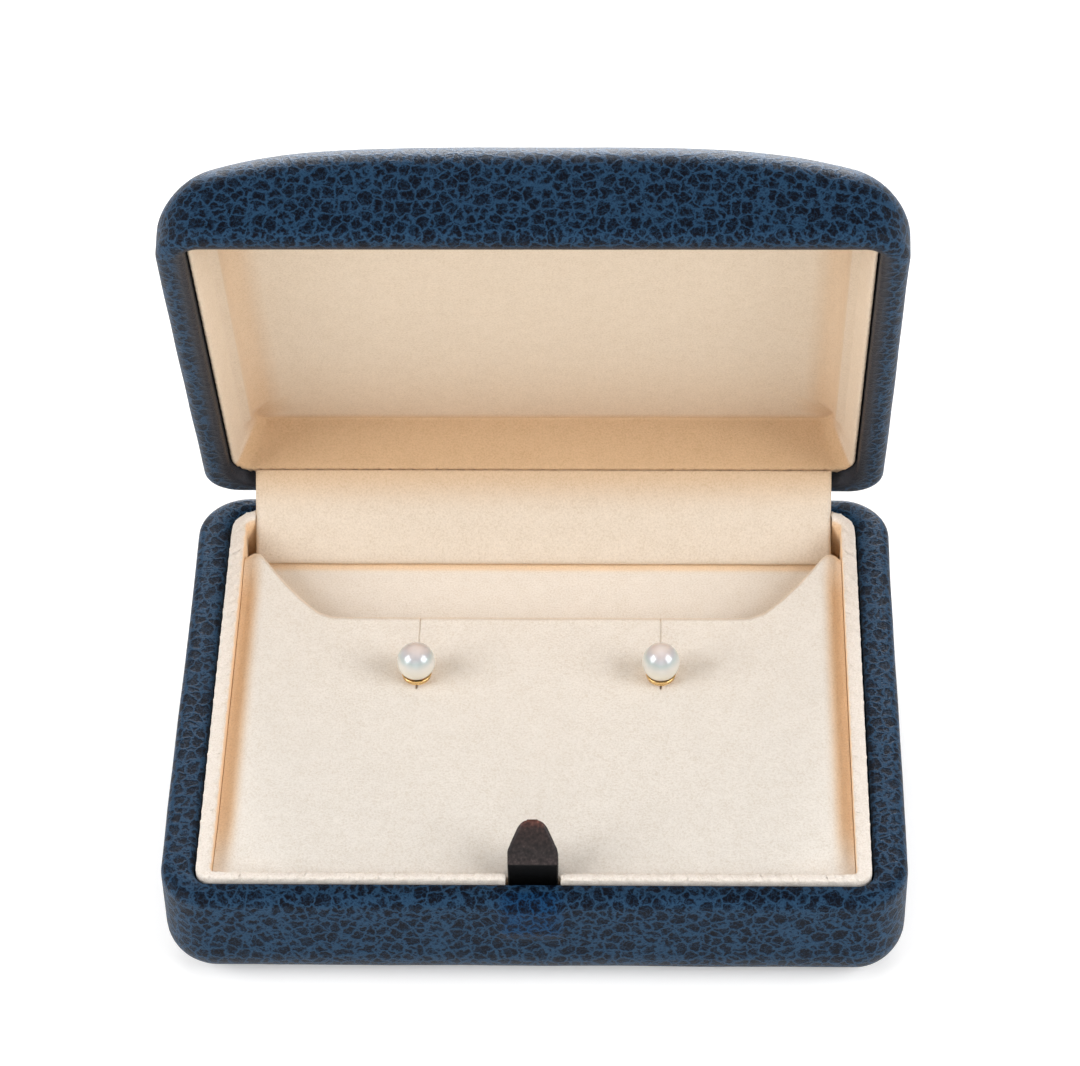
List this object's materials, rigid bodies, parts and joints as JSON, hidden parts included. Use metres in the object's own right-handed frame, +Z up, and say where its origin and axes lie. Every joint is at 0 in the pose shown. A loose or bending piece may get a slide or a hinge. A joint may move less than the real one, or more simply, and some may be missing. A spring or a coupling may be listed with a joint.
{
  "type": "pearl stud earrings in a hinged jewellery box",
  "caption": "Pearl stud earrings pinned through the suede pad of a blue leatherette jewellery box, with a hinged lid standing open, a catch and a push button.",
  "frame": {"origin": "centre of the box's flat underside", "axes": "+X along the hinge towards the right of the box as seen from its front, -Y towards the front with the push button, +Z up"},
  "size_m": [0.1, 0.0917, 0.0944],
  "materials": {
    "leatherette": "grained, satin",
    "suede": "brushed nap, matt",
    "catch": "satin",
    "gold": "polished gold",
    "pearl": "nacre, lustrous"
  },
  "bodies": {
    "base": {"base_shell": "leatherette", "collar_left": "suede", "collar_right": "suede", "insert_block": "suede", "pad": "suede", "catch_tongue": "catch", "hinge_strip": "suede", "pearl_left": "pearl", "pearl_right": "pearl", "setting_left": "gold", "setting_right": "gold", "ear_nut_left": "gold", "ear_nut_right": "gold"},
    "lid": {"lid_shell": "leatherette", "lid_lining": "suede"}
  },
  "joints": [
    {"name": "lid_hinge", "type": "hinge", "parent": "base", "child": "lid", "pos_m": [0, 0.039, 0.01758], "axis": [1, 0, 0], "range_deg": [0, 68.5], "deforming": ["hinge_strip"]}
  ]
}
